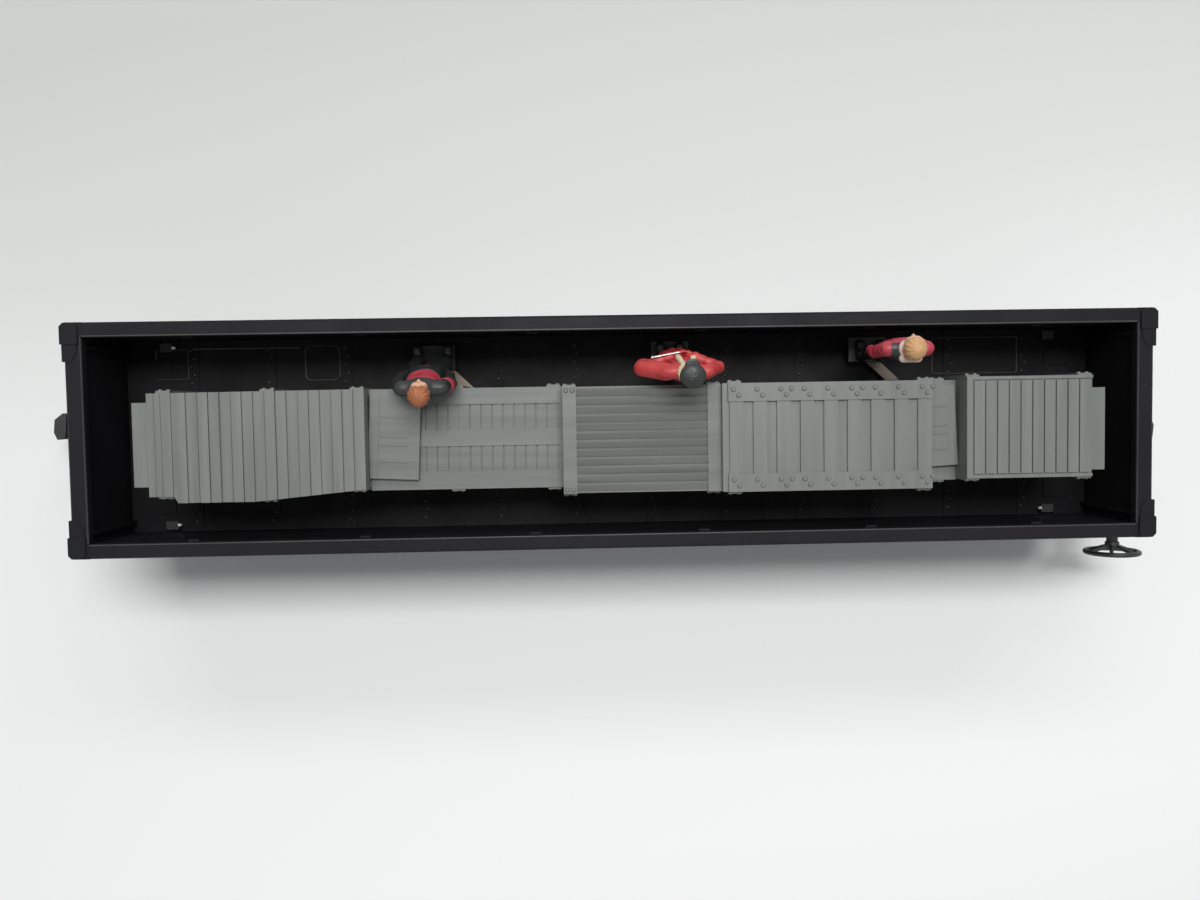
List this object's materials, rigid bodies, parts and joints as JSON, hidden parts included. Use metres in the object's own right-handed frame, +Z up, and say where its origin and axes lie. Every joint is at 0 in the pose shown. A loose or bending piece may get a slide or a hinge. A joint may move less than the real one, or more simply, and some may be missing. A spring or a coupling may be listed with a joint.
{
  "type": "model gondola car",
  "caption": "Open box-shaped model railway car with swivelling trucks and a crate load that hides a belt drive carrying worker figures round it.",
  "frame": {"origin": "middle of the track under the car, in the plane of the rail tops", "axes": "+X along the car towards the end with the hand brake, +Y to the side on which the figures stand, +Z up"},
  "size_m": [0.2784, 0.0602, 0.0666],
  "materials": {
    "body_black": "semi-gloss moulded black",
    "frame_black": "satin black paint on stamped steel",
    "load_grey": "satin moulded grey",
    "black_plastic": "satin",
    "cast_black": "satin black die casting",
    "steel": "plain steel",
    "zinc": "zinc-plated sheet",
    "brass": "bright",
    "bronze_sheet": "spring sheet",
    "belt_rubber": "matt",
    "board_green": "solder mask",
    "gear_nylon": "satin nylon",
    "arm_tan": "satin moulded tan",
    "figure_red": "hand-painted, red coat",
    "figure_vest": "hand-painted, red vest over black",
    "lever_white": "satin",
    "motor_steel": "plated can"
  },
  "bodies": {
    "car": {"body_shell": "body_black", "underframe": "frame_black", "centre_beam": "frame_black", "corner_steps": "frame_black", "truck_pivots": "steel", "mechanism_plate": "zinc", "stack_load": "load_grey", "low_load": "load_grey", "tall_load": "load_grey", "load_screws": "steel", "belt": "belt_rubber", "idler_pin": "steel", "motor_can": "motor_steel", "motor_cradle": "black_plastic", "circuit_board": "board_green", "switch_body": "black_plastic"},
    "switch": {"switch_lever": "lever_white"},
    "brake": {"brake_staff": "cast_black", "brake_wheel": "cast_black"},
    "drive_spool": {"drive_drum": "black_plastic", "drive_shaft": "steel", "worm_wheel": "gear_nylon"},
    "idler_spool": {"idler_drum": "black_plastic"},
    "motor_rotor": {"motor_shaft": "steel", "worm": "brass"},
    "carrier_1": {"carrier_arm_1": "arm_tan"},
    "worker_1": {"foot_plate_1": "black_plastic", "sway_pin_1": "steel", "figure_1": "figure_vest"},
    "carrier_2": {"carrier_arm_2": "arm_tan"},
    "worker_2": {"foot_plate_2": "black_plastic", "sway_pin_2": "steel", "figure_2": "figure_red"},
    "carrier_3": {"carrier_arm_3": "arm_tan"},
    "worker_3": {"foot_plate_3": "black_plastic", "sway_pin_3": "steel", "figure_3": "figure_red"},
    "front_truck": {"front_bolster": "cast_black", "front_side_frames": "cast_black", "front_coupler": "cast_black", "front_knuckle_pin": "steel", "pickup_hanger": "bronze_sheet"},
    "front_knuckle": {"front_knuckle": "cast_black"},
    "front_uncoupler": {"front_uncoupler": "steel"},
    "front_outer_wheelset": {"front_outer_axle": "steel", "front_outer_wheels": "cast_black"},
    "front_inner_wheelset": {"front_inner_axle": "steel", "front_inner_wheels": "cast_black"},
    "rear_truck": {"rear_bolster": "cast_black", "rear_side_frames": "cast_black", "rear_coupler": "cast_black", "rear_knuckle_pin": "steel"},
    "rear_knuckle": {"rear_knuckle": "cast_black"},
    "rear_uncoupler": {"rear_uncoupler": "steel"},
    "rear_outer_wheelset": {"rear_outer_axle": "steel", "rear_outer_wheels": "cast_black"},
    "rear_inner_wheelset": {"rear_inner_axle": "steel", "rear_inner_wheels": "cast_black"},
    "pickup_arm": {"pickup_arm": "bronze_sheet"},
    "pickup_roller": {"pickup_roller": "brass"}
  },
  "joints": [
    {"name": "belt_run", "type": "slide", "parent": "car", "child": "carrier_1", "axis": [1, 0, 0], "range_m": [-0.0025, 0.0225]},
    {"name": "carrier_2_run", "type": "slide", "parent": "car", "child": "carrier_2", "axis": [1, 0, 0], "range_m": [-0.0025, 0.0225]},
    {"name": "carrier_3_run", "type": "slide", "parent": "car", "child": "carrier_3", "axis": [1, 0, 0], "range_m": [-0.0025, 0.0225]},
    {"name": "worker_1_sway", "type": "hinge", "parent": "carrier_1", "child": "worker_1", "pos_m": [-0.0429, 0.0174, 0.0254], "axis": [1, 0, 0], "range_deg": [-13.5, 0]},
    {"name": "worker_2_sway", "type": "hinge", "parent": "carrier_2", "child": "worker_2", "pos_m": [0.0136, 0.0174, 0.0254], "axis": [1, 0, 0], "range_deg": [-10, 0]},
    {"name": "worker_3_sway", "type": "hinge", "parent": "carrier_3", "child": "worker_3", "pos_m": [0.062, 0.0174, 0.0254], "axis": [1, 0, 0], "range_deg": [-1, 7]},
    {"name": "drive_spool_turn", "type": "hinge", "parent": "car", "child": "drive_spool", "pos_m": [-0.0945, 0, 0.0274], "axis": [0, 0, 1], "range_deg": [-180, 30]},
    {"name": "idler_spool_turn", "type": "hinge", "parent": "car", "child": "idler_spool", "pos_m": [0.0945, 0, 0.0274], "axis": [0, 0, 1], "range_deg": [-180, 30]},
    {"name": "motor_turn", "type": "hinge", "parent": "car", "child": "motor_rotor", "pos_m": [-0.0865, -0.0058, 0.0364], "axis": [1, 0, 0], "range_deg": [-355, 3034]},
    {"name": "switch_throw", "type": "slide", "parent": "car", "child": "switch", "axis": [1, 0, 0], "range_m": [-0.002, 0.002]},
    {"name": "brake_turn", "type": "hinge", "parent": "car", "child": "brake", "pos_m": [0.1269, -0.0336, 0.0208], "axis": [0, 1, 0], "continuous": true},
    {"name": "front_truck_swivel", "type": "hinge", "parent": "car", "child": "front_truck", "pos_m": [0.084, 0, 0.016], "axis": [0, 0, 1], "range_deg": [-18, 18]},
    {"name": "front_outer_axle_turn", "type": "hinge", "parent": "front_truck", "child": "front_outer_wheelset", "pos_m": [0.101, 0, 0.0085], "axis": [0, 1, 0], "continuous": true},
    {"name": "front_inner_axle_turn", "type": "hinge", "parent": "front_truck", "child": "front_inner_wheelset", "pos_m": [0.067, 0, 0.0085], "axis": [0, 1, 0], "continuous": true},
    {"name": "front_knuckle_open", "type": "hinge", "parent": "front_truck", "child": "front_knuckle", "pos_m": [0.1324, -0.0042, 0.0144], "axis": [0, 0, 1], "range_deg": [-45, 0]},
    {"name": "front_uncoupler_pull", "type": "slide", "parent": "front_truck", "child": "front_uncoupler", "axis": [0, 0, 1], "range_m": [-0.0015, 0], "stiffness_N_per_m": 20, "springref_m": 0.0006},
    {"name": "rear_truck_swivel", "type": "hinge", "parent": "car", "child": "rear_truck", "pos_m": [-0.084, 0, 0.016], "axis": [0, 0, 1], "range_deg": [-18, 18]},
    {"name": "rear_outer_axle_turn", "type": "hinge", "parent": "rear_truck", "child": "rear_outer_wheelset", "pos_m": [-0.101, 0, 0.0085], "axis": [0, 1, 0], "continuous": true},
    {"name": "rear_inner_axle_turn", "type": "hinge", "parent": "rear_truck", "child": "rear_inner_wheelset", "pos_m": [-0.067, 0, 0.0085], "axis": [0, 1, 0], "continuous": true},
    {"name": "rear_knuckle_open", "type": "hinge", "parent": "rear_truck", "child": "rear_knuckle", "pos_m": [-0.1324, 0.0042, 0.0144], "axis": [0, 0, 1], "range_deg": [-45, 0]},
    {"name": "rear_uncoupler_pull", "type": "slide", "parent": "rear_truck", "child": "rear_uncoupler", "axis": [0, 0, 1], "range_m": [-0.0015, 0], "stiffness_N_per_m": 20, "springref_m": 0.0006},
    {"name": "pickup_arm_swing", "type": "hinge", "parent": "front_truck", "child": "pickup_arm", "pos_m": [0.082, 0, 0.009], "axis": [0, 1, 0], "range_deg": [-8, 4]},
    {"name": "pickup_roller_turn", "type": "hinge", "parent": "pickup_arm", "child": "pickup_roller", "pos_m": [0.0905, 0, 0.0025], "axis": [0, 1, 0], "continuous": true}
  ],
  "couplings": [
    {"joint": "carrier_2_run", "follows": "belt_run", "ratio": 1},
    {"joint": "carrier_3_run", "follows": "belt_run", "ratio": 1},
    {"joint": "drive_spool_turn", "follows": "belt_run", "rad_per_m": -129.87},
    {"joint": "idler_spool_turn", "follows": "belt_run", "rad_per_m": -129.87},
    {"joint": "motor_turn", "follows": "belt_run", "rad_per_m": 2337.7}
  ]
}
